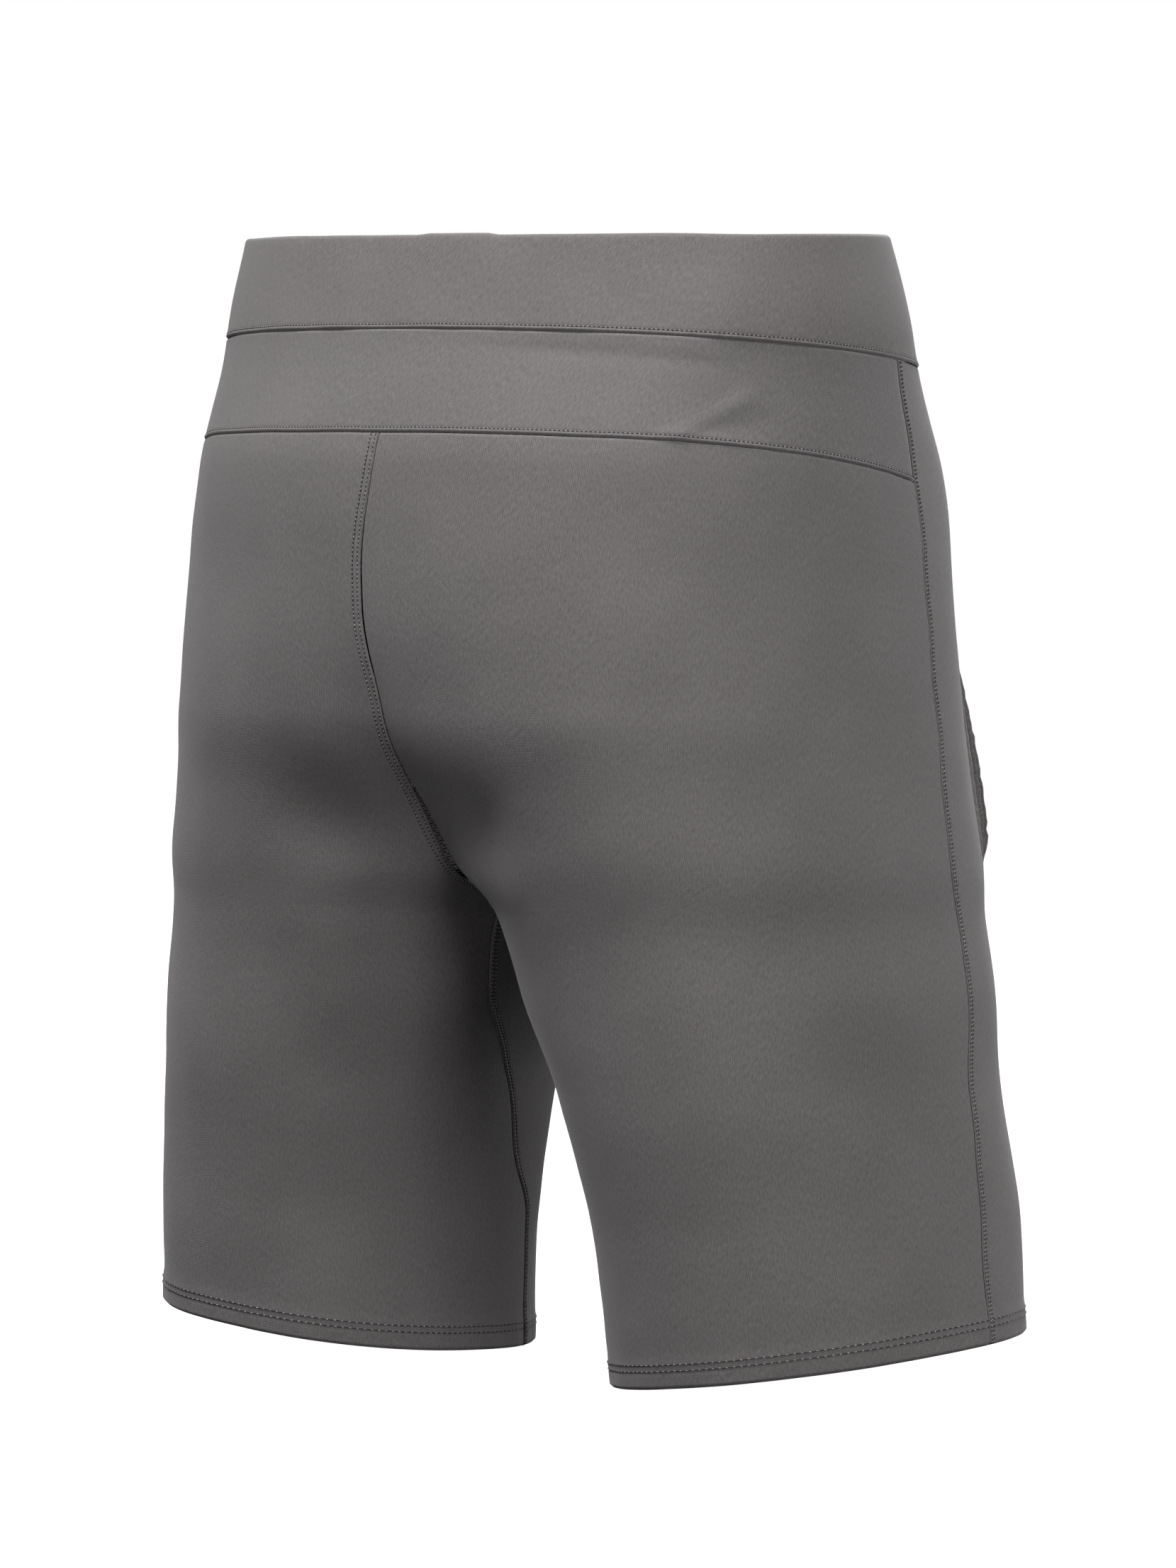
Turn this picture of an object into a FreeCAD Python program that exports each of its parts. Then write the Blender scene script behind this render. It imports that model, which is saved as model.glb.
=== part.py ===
import FreeCAD, Part
import math
import os

# Padded impact shorts: close-fitting stretch shorts with slim foam pads in inner pockets.
# Frame: +Z up, the front faces -Y, the wearer's left is +X. The origin is the middle of the
# footprint on the floor. All sizes are in millimetres.

V = FreeCAD.Vector

# ---------------------------------------------------------------- driving dimensions
TOTAL_RISE = 490.0          # from the middle of a hem to the top of the waistband
HEM_LIFT = 7.2              # height of the middle of a hem above the floor
FABRIC = 1.2                # thickness of the outer stretch fabric
SEAM_GAP = 0.2              # gap left between two panels along a seam
HIP_AXIS_Y = 0.0            # hip line that both legs swing about
HIP_AXIS_Z = 300.0
HIP_RADIUS = 150.0          # round boundary between the seat and the legs
HIP_GAP = 0.5               # clearance on each side of that boundary
HEM_SPLAY = 0.11            # slope of the hems: the outer side is higher
HEM_STRIDE = {"left": 0.065, "right": -0.065}    # slope of each hem from front to back
STRIDE_DEG = {"left": -1.0, "right": 2.0}        # how far each leg stands forward
FOOTPRINT_MIDDLE = V(0.0, 14.4, 0.0)             # the origin, in the working coordinates
SWING_TOP = 290.0           # level where a leg starts to lean forward
SWING_EASE = 100.0          # the lean eases in over this height
SECTION_POWER = 2.2         # 2 is an ellipse, more is squarer

# Half-body sections, from the hem up. Columns: level above the hem, x of the centre,
# half width outwards, half width inwards, y of the centre, depth back, depth front, skew.
LEVELS = [
    (-40, 129, 84, 78, 0, 92, 83, 0.08),
    (0, 128, 84, 78, 0, 95, 83, 0.08),
    (60, 125, 83, 79, 0, 101, 82, 0.08),
    (120, 117, 85, 84, 2, 108, 82, 0.08),
    (165, 104, 95, 93, 3, 111, 90, 0.06),
    (195, 92, 102, 91, 3, 115, 97, 0.04),
    (215, 84, 109, 108, 3, 119, 103, 0.02),
    (250, 64, 124, 118, 2, 128, 109, 0.0),
    (285, 46, 139, 150, 2, 137, 111, 0.0),
    (330, 25, 156, 170, 3, 141, 116, 0.0),
    (390, 8, 166, 165, 8, 135, 123, 0.0),
    (445, 0, 167, 167, 12, 112, 115, 0.0),
    (490, 0, 158, 158, 15, 97, 106, 0.0),
    (510, 0, 153, 153, 16, 91, 102, 0.0),
]
SECTION_STEP = 20.0         # spacing of the lofted sections
SECTION_POINTS = 32
EVEN_STEPS = [float(i) for i in range(SECTION_POINTS + 1)]

# Seams seen from the side, as (y, level): each is an arc through three points.
WAISTBAND_SEAM = [(150, 452), (0, 438), (-150, 422)]
YOKE_SEAM = [(170, 407), (65, 398), (-60, 374)]
# Side seam and inseam down one leg: level, y of the side seam, y of the inseam. The inseam
# starts behind the crotch and comes forward on its way down.
SEAM_LINES = [
    (600, -17, -17),
    (480, -17, -17),
    (360, -17, -17),
    (270, -17, 0),
    (230, -17, 40),
    (195, -17, 50),
    (160, -16, 43),
    (132, -14, 20),
    (105, -12, 1),
    (80, -11, -10),
    (55, -10, -25),
    (20, -10, -30),
    (-39, -10, -32),
]
SEAM_REACH = 24.0           # the surface between the two seams runs this far past the cloth

HEM_TURN_UP = 12.0          # height of the folded hem inside each leg
HEM_TURN_START = 2.2        # how far inside the outer surface it starts
HEM_TURN_THICK = 0.8

ELASTIC_TOP_DROP = 4.0      # elastic sits this far under the top fold
ELASTIC_HEIGHT = 32.0
ELASTIC_START = 1.7
ELASTIC_THICK = 0.8
FACING_START = 3.1
FACING_THICK = 0.8

# Pads: thickness, and how far inside the outer surface they start.
PAD_START = 2.8
PAD_THICK = 7.0
SLEEVE_GAP = 0.4
SLEEVE_WALL = 0.8
HIP_PAD = {"y": (-50, 62), "z": (218, 342), "corner": 28}
THIGH_PAD = {"y": (-44, 48), "z": (38, 132), "corner": 24}
TAILBONE_PAD = {"x": (-38, 38), "z": (303, 397), "corner": 26}

# Hand pockets in the front panels, as (y, level) ends of the slit.
POCKET_LOW = (-62, 220)
POCKET_HIGH = (-84, 338)
POCKET_SLIT = 3.0
POCKET_BAG = {"y": (-98, -24), "z": (200, 415), "corner": 20, "start": 1.5, "thick": 0.8}

BACK_LABEL = {"x": (-17, 17), "z": (458, 476), "start": 4.3, "thick": 0.7}
CARE_LABEL = {"y": (8, 30), "z": (366, 402), "start": 1.6, "thick": 0.5}

BIG = 400.0                 # longer than any piece
OUTER_WALL_X = 110.0        # side pads and pockets lie outside this
SIDES = {"left": 1, "right": -1}


# ---------------------------------------------------------------- body shape
def eased_column(level, column):
    """Smooth value of one LEVELS column, with no overshoot between rows."""
    heights = [row[0] for row in LEVELS]
    values = [row[column] for row in LEVELS]
    last = len(LEVELS) - 1

    def step(i):
        return (values[i + 1] - values[i]) / (heights[i + 1] - heights[i])

    def slope(i):
        if i == 0:
            return step(0)
        if i == last:
            return step(last - 1)
        before, after = step(i - 1), step(i)
        if before * after <= 0:
            return 0.0
        return 2 * before * after / (before + after)

    i = 0
    while i < last - 1 and level > heights[i + 1]:
        i += 1
    span = heights[i + 1] - heights[i]
    t = (level - heights[i]) / span
    return ((2 * t ** 3 - 3 * t ** 2 + 1) * values[i]
            + (t ** 3 - 2 * t ** 2 + t) * span * slope(i)
            + (3 * t ** 2 - 2 * t ** 3) * values[i + 1]
            + (t ** 3 - t ** 2) * span * slope(i + 1))


def stride_shift(level, side):
    """How far a leg has moved forward at a level."""
    below = max(0.0, SWING_TOP - level)
    return math.tan(math.radians(STRIDE_DEG[side])) * below * min(1.0, below / SWING_EASE)


def rounded(value, power):
    return math.copysign(abs(value) ** (2 / power), value)


def section_wire(level, side, inset):
    """Closed smooth section of one half of the body, taken in by inset."""
    centre_x, outer, inner, centre_y, back, front, skew = [
        eased_column(level, column) for column in range(1, 8)]
    points = []
    for i in range(SECTION_POINTS):
        turn = 2 * math.pi * (i + 0.5) / SECTION_POINTS
        across = rounded(math.cos(turn), SECTION_POWER)
        along = rounded(math.sin(turn), SECTION_POWER)
        half_width = (outer if across > 0 else inner) - inset
        depth = (back if along > 0 else front) - inset
        dy = depth * along
        x = centre_x + half_width * across - skew * dy
        y = centre_y + dy - stride_shift(level, side)
        points.append(V(SIDES[side] * x, y, level + HEM_LIFT))
    curve = Part.BSplineCurve()
    curve.interpolate(Points=points, PeriodicFlag=True, Parameters=EVEN_STEPS)
    return Part.Wire(curve.toShape())


def section_wires(side, inset, levels):
    low, high = levels
    count = max(3, round((high - low) / SECTION_STEP))
    return [section_wire(low + (high - low) * i / count, side, inset) for i in range(count + 1)]


def box(x_range, y_range, z_range):
    size = [b - a for a, b in (x_range, y_range, z_range)]
    return Part.makeBox(*size, V(x_range[0], y_range[0], z_range[0]))


def half_space(side):
    """Everything on one side of the centre plane."""
    gap = SEAM_GAP / 2
    return box((gap, BIG) if side == "left" else (-BIG, -gap), (-BIG, BIG), (-BIG, 2 * BIG))


# ---------------------------------------------------------------- regions between seams
def above_arc(points, lift):
    """Everything above a seam that is an arc seen from the side."""
    first, middle, last = [V(-BIG, y, level + HEM_LIFT + lift) for y, level in points]
    arc = Part.Arc(first, middle, last).toShape()
    top = 2 * BIG
    corners = [last, V(-BIG, last.y, top), V(-BIG, first.y, top), first]
    edges = [arc] + [Part.makeLine(a, b) for a, b in zip(corners, corners[1:])]
    return Part.Face(Part.Wire(edges)).extrude(V(2 * BIG, 0, 0))


def seam_sheet(side, shift):
    """Surface straight across one leg through its side seam and its inseam, and a little past them."""
    outer_edge, inner_edge = [], []
    for level, side_y, inseam_y in SEAM_LINES:
        shape_level = min(level, TOTAL_RISE)
        centre_x, outer, inner = [eased_column(shape_level, column) for column in (1, 2, 3)]
        slope = (side_y - inseam_y) / (outer + inner)
        base_y = shift - stride_shift(level, side)
        z = level + HEM_LIFT
        outer_edge.append(V(SIDES[side] * (centre_x + outer + SEAM_REACH),
                            side_y + slope * SEAM_REACH + base_y, z))
        inner_edge.append(V(SIDES[side] * (centre_x - inner - SEAM_REACH),
                            inseam_y - slope * SEAM_REACH + base_y, z))
    edges = []
    for points in (outer_edge, inner_edge):
        curve = Part.BSplineCurve()
        curve.interpolate(points)
        edges.append(curve.toShape())
    return Part.makeRuledSurface(edges[0], edges[1])


def behind_seams(side):
    return seam_sheet(side, SEAM_GAP / 2).extrude(V(0, BIG, 0))


def ahead_of_seams(side):
    return seam_sheet(side, -SEAM_GAP / 2).extrude(V(0, -BIG, 0))


def above_hem(side, lift):
    """Everything above the tilted plane of one hem."""
    corners = []
    for x, y in ((-20, -200), (280, -200), (280, 200), (-20, 200)):
        z = (HEM_LIFT + lift + HEM_SPLAY * (x - 90)
             + HEM_STRIDE[side] * (y + stride_shift(0, side)))
        corners.append(V(SIDES[side] * x, y, z))
    return Part.Face(Part.makePolygon(corners + corners[:1])).extrude(V(0, 0, 2 * BIG))


def hip_drum(radius):
    return Part.makeCylinder(radius, 2 * BIG, V(-BIG, HIP_AXIS_Y, HIP_AXIS_Z), V(1, 0, 0))


def seat_zone():
    """The part of the shorts that stays still when a leg swings."""
    upper = box((-BIG, BIG), (-BIG, BIG), (HIP_AXIS_Z, 2 * BIG))
    return hip_drum(HIP_RADIUS - HIP_GAP).fuse(upper)


def leg_zone():
    lower = box((-BIG, BIG), (-BIG, BIG), (-BIG, HIP_AXIS_Z))
    return lower.cut(hip_drum(HIP_RADIUS + HIP_GAP))


def rounded_outline(low, high, corner, place):
    """Wire of a rectangle with round corners. place turns (a, b) into a point."""
    (a0, b0), (a1, b1) = low, high
    centres = [(a1 - corner, b1 - corner, 0), (a0 + corner, b1 - corner, 90),
               (a0 + corner, b0 + corner, 180), (a1 - corner, b0 + corner, 270)]
    arcs = []
    for a, b, start in centres:
        spots = []
        for turn in (0, 45, 90):
            angle = math.radians(start + turn)
            spots.append(place(a + corner * math.cos(angle), b + corner * math.sin(angle)))
        arcs.append(Part.Arc(*spots).toShape())
    edges = []
    for i, arc in enumerate(arcs):
        after = arcs[(i + 1) % 4]
        edges += [arc, Part.makeLine(arc.Vertexes[-1].Point, after.Vertexes[0].Point)]
    return Part.Wire(edges)


def side_prism(side, plan, grow=0.0):
    """Rounded block through the outer wall of one half, seen from the side."""
    def place(y, level):
        return V(SIDES[side] * OUTER_WALL_X, y, level + HEM_LIFT)

    (y0, y1), (z0, z1) = plan["y"], plan["z"]
    wire = rounded_outline((y0 - grow, z0 - grow), (y1 + grow, z1 + grow), plan["corner"] + grow, place)
    return Part.Face(wire).extrude(V(SIDES[side] * BIG, 0, 0))


def back_prism(plan, grow=0.0):
    """Rounded block through the back wall, seen from behind."""
    def place(x, level):
        return V(x, 40.0, level + HEM_LIFT)

    (x0, x1), (z0, z1) = plan["x"], plan["z"]
    wire = rounded_outline((x0 - grow, z0 - grow), (x1 + grow, z1 + grow), plan["corner"] + grow, place)
    return Part.Face(wire).extrude(V(0, BIG, 0))


# ---------------------------------------------------------------- layers of the body
def layer(side, start, thick, levels):
    """A closed layer of one half of the body, from start to start + thick inside the outside."""
    outer = section_wires(side, start, levels)
    inner = section_wires(side, start + thick, levels)
    faces = Part.makeLoft(outer, False, False).Faces + Part.makeLoft(inner, False, False).Faces
    for end in (0, -1):
        faces.append(Part.makeFace([outer[end], inner[end]], "Part::FaceMakerBullseye"))
    shell = Part.Shell(Part.makeCompound(faces).Faces)
    shell.sewShape()
    solid = Part.makeSolid(Part.Shell(shell.Faces))
    if solid.Volume < 0:
        solid.reverse()
    return solid


def whole_layer(start, thick, levels, trim):
    """The same layer over both halves, each trimmed and then joined on the centre plane."""
    halves = []
    for side in SIDES:
        x_range = (0, BIG) if side == "left" else (-BIG, 0)
        half = layer(side, start, thick, levels).common(box(x_range, (-BIG, BIG), (-BIG, 2 * BIG)))
        halves.append(trim(half))
    return halves[0].fuse(halves[1])


# ---------------------------------------------------------------- fabric pieces
def fabric_panels(side, pieces):
    """Seat, front and leg panels of one side."""
    cloth = layer(side, 0.0, FABRIC, (-30.0, TOTAL_RISE)).common(half_space(side))
    below_waistband = cloth.cut(above_arc(WAISTBAND_SEAM, -SEAM_GAP))
    back = below_waistband.common(behind_seams(side)).cut(above_arc(YOKE_SEAM, -SEAM_GAP))
    front = below_waistband.common(ahead_of_seams(side))
    hem = above_hem(side, 0.0)
    for name, panel in (("back", back), ("front", front)):
        pieces[f"{'seat' if name == 'back' else 'front'}_panel_{side}"] = panel.common(seat_zone())
        pieces[f"{name}_leg_panel_{side}"] = panel.common(leg_zone()).common(hem)
    pieces[f"front_panel_{side}"] = pieces[f"front_panel_{side}"].cut(pocket_slit(side))


def pocket_slit(side):
    """Narrow slit with round ends, through the front panel only."""
    low, high = [V(SIDES[side] * OUTER_WALL_X, y, level + HEM_LIFT)
                 for y, level in (POCKET_LOW, POCKET_HIGH)]
    along = (high - low).normalize()
    across = along.cross(V(1, 0, 0)) * (POCKET_SLIT / 2)
    reach = along * (POCKET_SLIT / 2)
    ends = [Part.Arc(low + across, low - reach, low - across).toShape(),
            Part.Arc(high - across, high + reach, high + across).toShape()]
    sides = [Part.makeLine(low - across, high - across), Part.makeLine(high + across, low + across)]
    wire = Part.Wire([ends[0], sides[0], ends[1], sides[1]])
    return Part.Face(wire).extrude(V(SIDES[side] * BIG, 0, 0))


def back_yoke():
    behind = box((-BIG, BIG), (SEAM_LINES[0][1] + SEAM_GAP / 2, BIG), (-BIG, 2 * BIG))

    def trim(half):
        band = half.common(behind).common(above_arc(YOKE_SEAM, 0.0))
        return band.cut(above_arc(WAISTBAND_SEAM, -SEAM_GAP))

    return whole_layer(0.0, FABRIC, (360.0, TOTAL_RISE), trim)


def waistband_outer():
    return whole_layer(0.0, FABRIC, (400.0, TOTAL_RISE),
                       lambda half: half.common(above_arc(WAISTBAND_SEAM, 0.0)))


def waistband_elastic():
    top = TOTAL_RISE - ELASTIC_TOP_DROP
    return whole_layer(ELASTIC_START, ELASTIC_THICK, (top - ELASTIC_HEIGHT, top), lambda half: half)


def waistband_facing():
    return whole_layer(FACING_START, FACING_THICK, (400.0, TOTAL_RISE - 1.0),
                       lambda half: half.common(above_arc(WAISTBAND_SEAM, 1.0)))


def hem_turn_up(side):
    band = layer(side, HEM_TURN_START, HEM_TURN_THICK, (-30.0, 60.0)).common(half_space(side))
    return band.common(above_hem(side, 0.8)).cut(above_hem(side, HEM_TURN_UP))


# ---------------------------------------------------------------- pads, pockets and labels
def pad_and_sleeve(name, cut_layer, pieces):
    """A foam pad, and the mesh sleeve that holds it against the shorts."""
    reach = PAD_THICK + SLEEVE_GAP
    pieces[f"{name}_pad"] = cut_layer(PAD_START, PAD_THICK, 0.0)
    outside = cut_layer(PAD_START, reach + SLEEVE_WALL, SLEEVE_GAP + SLEEVE_WALL)
    inside = cut_layer(PAD_START - 1.0, reach + 1.0, SLEEVE_GAP)
    pieces[f"{name}_pad_sleeve"] = outside.cut(inside)


def side_pads(side, pieces):
    for name, plan in (("hip", HIP_PAD), ("thigh", THIGH_PAD)):
        low, high = plan["z"]

        def cut_layer(start, thick, grow):
            return layer(side, start, thick, (low - 12, high + 12)).common(side_prism(side, plan, grow))

        pad_and_sleeve(f"{name}_{side}", cut_layer, pieces)


def tailbone_pad(pieces):
    low, high = TAILBONE_PAD["z"]

    def cut_layer(start, thick, grow):
        return whole_layer(start, thick, (low - 12, high + 12),
                           lambda half: half.common(back_prism(TAILBONE_PAD, grow)))

    pad_and_sleeve("tailbone", cut_layer, pieces)


def pocket_bag(side):
    bag = layer(side, POCKET_BAG["start"], POCKET_BAG["thick"], (180.0, 430.0))
    return bag.common(side_prism(side, POCKET_BAG)).common(seat_zone())


def back_label():
    plan = dict(BACK_LABEL, corner=2)
    return whole_layer(plan["start"], plan["thick"], (440.0, 485.0),
                       lambda half: half.common(back_prism(plan)))


def care_label():
    plan = dict(CARE_LABEL, corner=1)
    return layer("left", plan["start"], plan["thick"], (350.0, 420.0)).common(side_prism("left", plan))


def build():
    pieces = {
        "waistband_outer": waistband_outer(),
        "waistband_elastic": waistband_elastic(),
        "waistband_facing": waistband_facing(),
        "back_yoke": back_yoke(),
        "back_label": back_label(),
        "care_label": care_label(),
    }
    tailbone_pad(pieces)
    for side in SIDES:
        fabric_panels(side, pieces)
        pieces[f"hem_turn_up_{side}"] = hem_turn_up(side)
        pieces[f"pocket_bag_{side}"] = pocket_bag(side)
        side_pads(side, pieces)
    return pieces


os.makedirs("parts", exist_ok=True)
for node, shape in build().items():
    shape.translate(FOOTPRINT_MIDDLE * -1)
    shape.exportStep(f"parts/{node}.step")
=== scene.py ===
import math

import bmesh
import bpy
import numpy as np
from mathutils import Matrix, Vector


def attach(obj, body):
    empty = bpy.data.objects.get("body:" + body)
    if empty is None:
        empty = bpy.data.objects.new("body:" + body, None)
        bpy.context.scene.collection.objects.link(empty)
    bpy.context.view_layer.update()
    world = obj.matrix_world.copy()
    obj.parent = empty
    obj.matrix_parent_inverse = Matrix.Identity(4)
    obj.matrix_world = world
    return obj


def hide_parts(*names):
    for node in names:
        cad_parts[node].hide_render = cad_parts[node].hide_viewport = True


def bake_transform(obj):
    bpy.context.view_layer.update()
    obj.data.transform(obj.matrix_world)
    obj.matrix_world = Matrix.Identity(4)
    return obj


# Padded impact shorts: the sewn cloth, pads, elastic and stitching over the frame of the part.
# Frame: metres, +Z up, the front faces -Y, the wearer's left is +X.
# The sizes below are in millimetres, as a pattern cutter writes them, and MM makes them metres.

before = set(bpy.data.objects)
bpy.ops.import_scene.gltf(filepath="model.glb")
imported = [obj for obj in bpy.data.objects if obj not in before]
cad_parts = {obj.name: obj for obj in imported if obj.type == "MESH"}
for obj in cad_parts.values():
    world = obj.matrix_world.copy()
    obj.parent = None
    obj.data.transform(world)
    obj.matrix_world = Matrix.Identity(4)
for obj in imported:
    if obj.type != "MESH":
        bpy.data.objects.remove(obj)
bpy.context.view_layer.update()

MM = 0.001
SIGN = {"left": 1.0, "right": -1.0}

# ---------------------------------------------------------------- the body of the shorts
TOTAL_RISE = 490.0
HEM_LIFT = 7.2
HEM_SPLAY = 0.11
HEM_STRIDE = {"left": 0.065, "right": -0.065}
STRIDE_DEG = {"left": -1.0, "right": 2.0}
FOOTPRINT_MIDDLE_Y = 14.4
SWING_TOP = 290.0
SWING_EASE = 100.0
SECTION_POWER = 2.2

# Sections of one half. Level above the hem, x of the centre, half width outwards, half width
# inwards, y of the centre, depth back, depth front, skew.
LEVELS = np.array([
    (-40, 129, 84, 78, 0, 92, 83, 0.08),
    (0, 128, 84, 78, 0, 95, 83, 0.08),
    (60, 125, 83, 79, 0, 101, 82, 0.08),
    (120, 117, 85, 84, 2, 108, 82, 0.08),
    (165, 104, 95, 93, 3, 111, 90, 0.06),
    (195, 92, 102, 91, 3, 115, 97, 0.04),
    (215, 84, 109, 108, 3, 119, 103, 0.02),
    (250, 64, 124, 118, 2, 128, 109, 0.0),
    (285, 46, 139, 150, 2, 137, 111, 0.0),
    (330, 25, 156, 170, 3, 141, 116, 0.0),
    (390, 8, 166, 165, 8, 135, 123, 0.0),
    (445, 0, 167, 167, 12, 112, 115, 0.0),
    (490, 0, 158, 158, 15, 97, 106, 0.0),
    (510, 0, 153, 153, 16, 91, 102, 0.0),
])

# Seams seen from the side, as (y, level): each is an arc through three points.
WAISTBAND_SEAM = [(150, 452), (0, 438), (-150, 422)]
YOKE_SEAM = [(170, 407), (65, 398), (-60, 374)]
# Side seam and inseam down one leg: level, y of the side seam, y of the inseam.
SEAM_LINES = np.array([
    (-39, -10, -32),
    (20, -10, -30),
    (55, -10, -25),
    (80, -11, -10),
    (105, -12, 1),
    (132, -14, 20),
    (160, -16, 43),
    (195, -17, 50),
    (230, -17, 40),
    (270, -17, 0),
    (360, -17, -17),
    (480, -17, -17),
    (600, -17, -17),
], dtype=float)
SEAM_TOP = 199.5            # the inseam meets the centre seam at this level
CROTCH_EASE = 24.0

# Inner layers: how far inside the outer face each one starts, how thick and how tall it is.
HEM_TURN_UP = 12.0
HEM_TURN_START = 2.2
HEM_TURN_THICK = 0.8
ELASTIC_TOP_DROP = 4.0
ELASTIC_HEIGHT = 32.0
ELASTIC_START = 1.7
ELASTIC_THICK = 0.8
FACING_START = 3.1
FACING_THICK = 0.5
PAD_START = 2.8
PAD_THICK = 7.0
SLEEVE_GAP = 0.4
SLEEVE_WALL = 0.8
HIP_PAD = {"y": (-50, 62), "z": (218, 342), "corner": 28}
THIGH_PAD = {"y": (-44, 48), "z": (38, 132), "corner": 24}
TAILBONE_PAD = {"x": (-38, 38), "z": (303, 397), "corner": 26}
POCKET_LOW = (-62, 220)
POCKET_HIGH = (-84, 338)
POCKET_BAG = {"y": (-98, -24), "z": (200, 415), "start": 1.9, "thick": 0.6}
BACK_LABEL = {"x": (-17, 17), "z": (458, 476), "start": 4.3, "thick": 0.5}
CARE_LABEL = {"y": (8, 30), "z": (366, 402), "start": 1.8, "thick": 0.4}

CLOTH_THICK = 1.0           # outer fabric
COARSE = 3.0                # spacing of the cloth mesh away from the seams
SEAM_GAP = 0.1              # half the gap between cut edges that meet at a seam
SEAM_LAP = 0.2              # how far each front panel runs past the centre plane
FRONT_SPARE = 3.0           # cloth past the centre plane before it is trimmed
BAND_ROLL = 1.7             # radius of the waistband's folded top edge
SEAT_FOLD = 7.0             # how far the cloth draws in under each half of the seat
POCKET_GAPE = 10.0          # widest opening of a pocket mouth

# Rows of stitching: distance of each from the seam or the cut edge.
CENTRE_ROWS = (1.5, 4.3)
SIDE_ROWS = (1.1, 2.9)
INSEAM_ROWS = (1.2, 3.4)
POCKET_ROWS = (3.0,)
BAND_ROWS = (2.2,)
HEM_ROWS = (8.0, 10.8)
THREAD_LIFT = 0.12
# Folds in the yoke: y at both ends, level at both ends, height and half width.
YOKE_FOLDS = [
    (103, 70, 402.0, 421.0, 0.9, 3.6),
    (103, 68, 405.5, 400.0, 0.55, 2.6),
    (120, 78, 441.0, 434.0, -0.6, 3.4),
    (92, 60, 409.0, 411.0, -0.4, 4.0),
]


def eased(table, level, column):
    """Smooth value of one column of a table, with no overshoot between rows."""
    heights, values = table[:, 0], table[:, column]
    step = np.diff(values) / np.diff(heights)
    slope = np.zeros(len(values))
    slope[0], slope[-1] = step[0], step[-1]
    before, after = step[:-1], step[1:]
    turning = before * after > 0
    slope[1:-1][turning] = (2 * before * after)[turning] / (before + after)[turning]
    i = np.clip(np.searchsorted(heights, level) - 1, 0, len(values) - 2)
    span = heights[i + 1] - heights[i]
    t = (level - heights[i]) / span
    return ((2 * t ** 3 - 3 * t ** 2 + 1) * values[i]
            + (t ** 3 - 2 * t ** 2 + t) * span * slope[i]
            + (3 * t ** 2 - 2 * t ** 3) * values[i + 1]
            + (t ** 3 - t ** 2) * span * slope[i + 1])


def stride_shift(level, side):
    """How far one leg has swung forward (positive) or back at this level."""
    below = np.maximum(0.0, SWING_TOP - level)
    return math.tan(math.radians(STRIDE_DEG[side])) * below * np.minimum(1.0, below / SWING_EASE)


def rounded(value, power):
    """Cosine or sine of a circle, changed to that of a squarer superellipse."""
    return np.sign(value) * np.abs(value) ** (2 / power)


def body(side, level, turn, inset=0.0):
    """Points of one half of the body in working millimetres. turn goes from the outer side
    by the back to the inner side."""
    level, turn = np.broadcast_arrays(np.asarray(level, float), np.asarray(turn, float))
    centre_x, outer, inner, centre_y, back, front, skew = [
        eased(LEVELS, level, column) for column in range(1, 8)]
    across = rounded(np.cos(turn), SECTION_POWER)
    along = rounded(np.sin(turn), SECTION_POWER)
    dy = (np.where(along > 0, back, front) - inset) * along
    x = centre_x + (np.where(across > 0, outer, inner) - inset) * across - skew * dy
    y = centre_y + dy - stride_shift(level, side)
    return np.stack([SIGN[side] * x, y, level], -1)


def body_normal(side, level, turn):
    """Unit vectors out of the cloth."""
    by_turn = body(side, level, turn + 0.01) - body(side, level, turn - 0.01)
    by_level = body(side, level + 1.0, turn) - body(side, level - 1.0, turn)
    out = np.cross(by_turn, by_level) * SIGN[side]
    return out / np.maximum(np.linalg.norm(out, axis=-1, keepdims=True), 1e-9)


def placed(points):
    """Working millimetres to the frame, in metres."""
    return (points + np.array([0.0, -FOOTPRINT_MIDDLE_Y, HEM_LIFT])) * MM


# ---------------------------------------------------------------- where the seams run
def arc_level(points, y):
    """Level of a seam arc over y, from its three points."""
    (y1, z1), (y2, z2), (y3, z3) = points
    rows = np.array([[2 * (y2 - y1), 2 * (z2 - z1)], [2 * (y3 - y1), 2 * (z3 - z1)]], float)
    sums = [y2 ** 2 - y1 ** 2 + z2 ** 2 - z1 ** 2, y3 ** 2 - y1 ** 2 + z3 ** 2 - z1 ** 2]
    yc, zc = np.linalg.solve(rows, sums)
    radius = math.hypot(y1 - yc, z1 - zc)
    return zc + np.sqrt(radius ** 2 - (y - yc) ** 2)


def hem_level(side, x, y):
    """Level of the hem, which rises outwards and follows the stride."""
    return HEM_SPLAY * (np.abs(x) - 90) + HEM_STRIDE[side] * (y + stride_shift(0.0, side))


def turn_at_y(level, y, inner_side):
    """Turn where the section has this y before the leg's lean."""
    centre_y, back, front = [eased(LEVELS, level, column) for column in (4, 5, 6)]
    along = np.clip((y - centre_y) / np.where(y > centre_y, back, front), -1, 1)
    turn = np.arcsin(np.sign(along) * np.abs(along) ** (SECTION_POWER / 2))
    return math.pi - turn if inner_side else turn


def side_turn(level):
    """The side seam, which wavers a little as a sewn seam does."""
    waver = 0.7 * np.sin(level / 16.0) + 0.45 * np.sin(level / 6.7 + 1.0)
    return turn_at_y(level, eased(SEAM_LINES, level, 1) + waver, False)


def inseam_turn(level):
    """The inseam of one leg."""
    return turn_at_y(level, eased(SEAM_LINES, level, 2), True)


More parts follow.
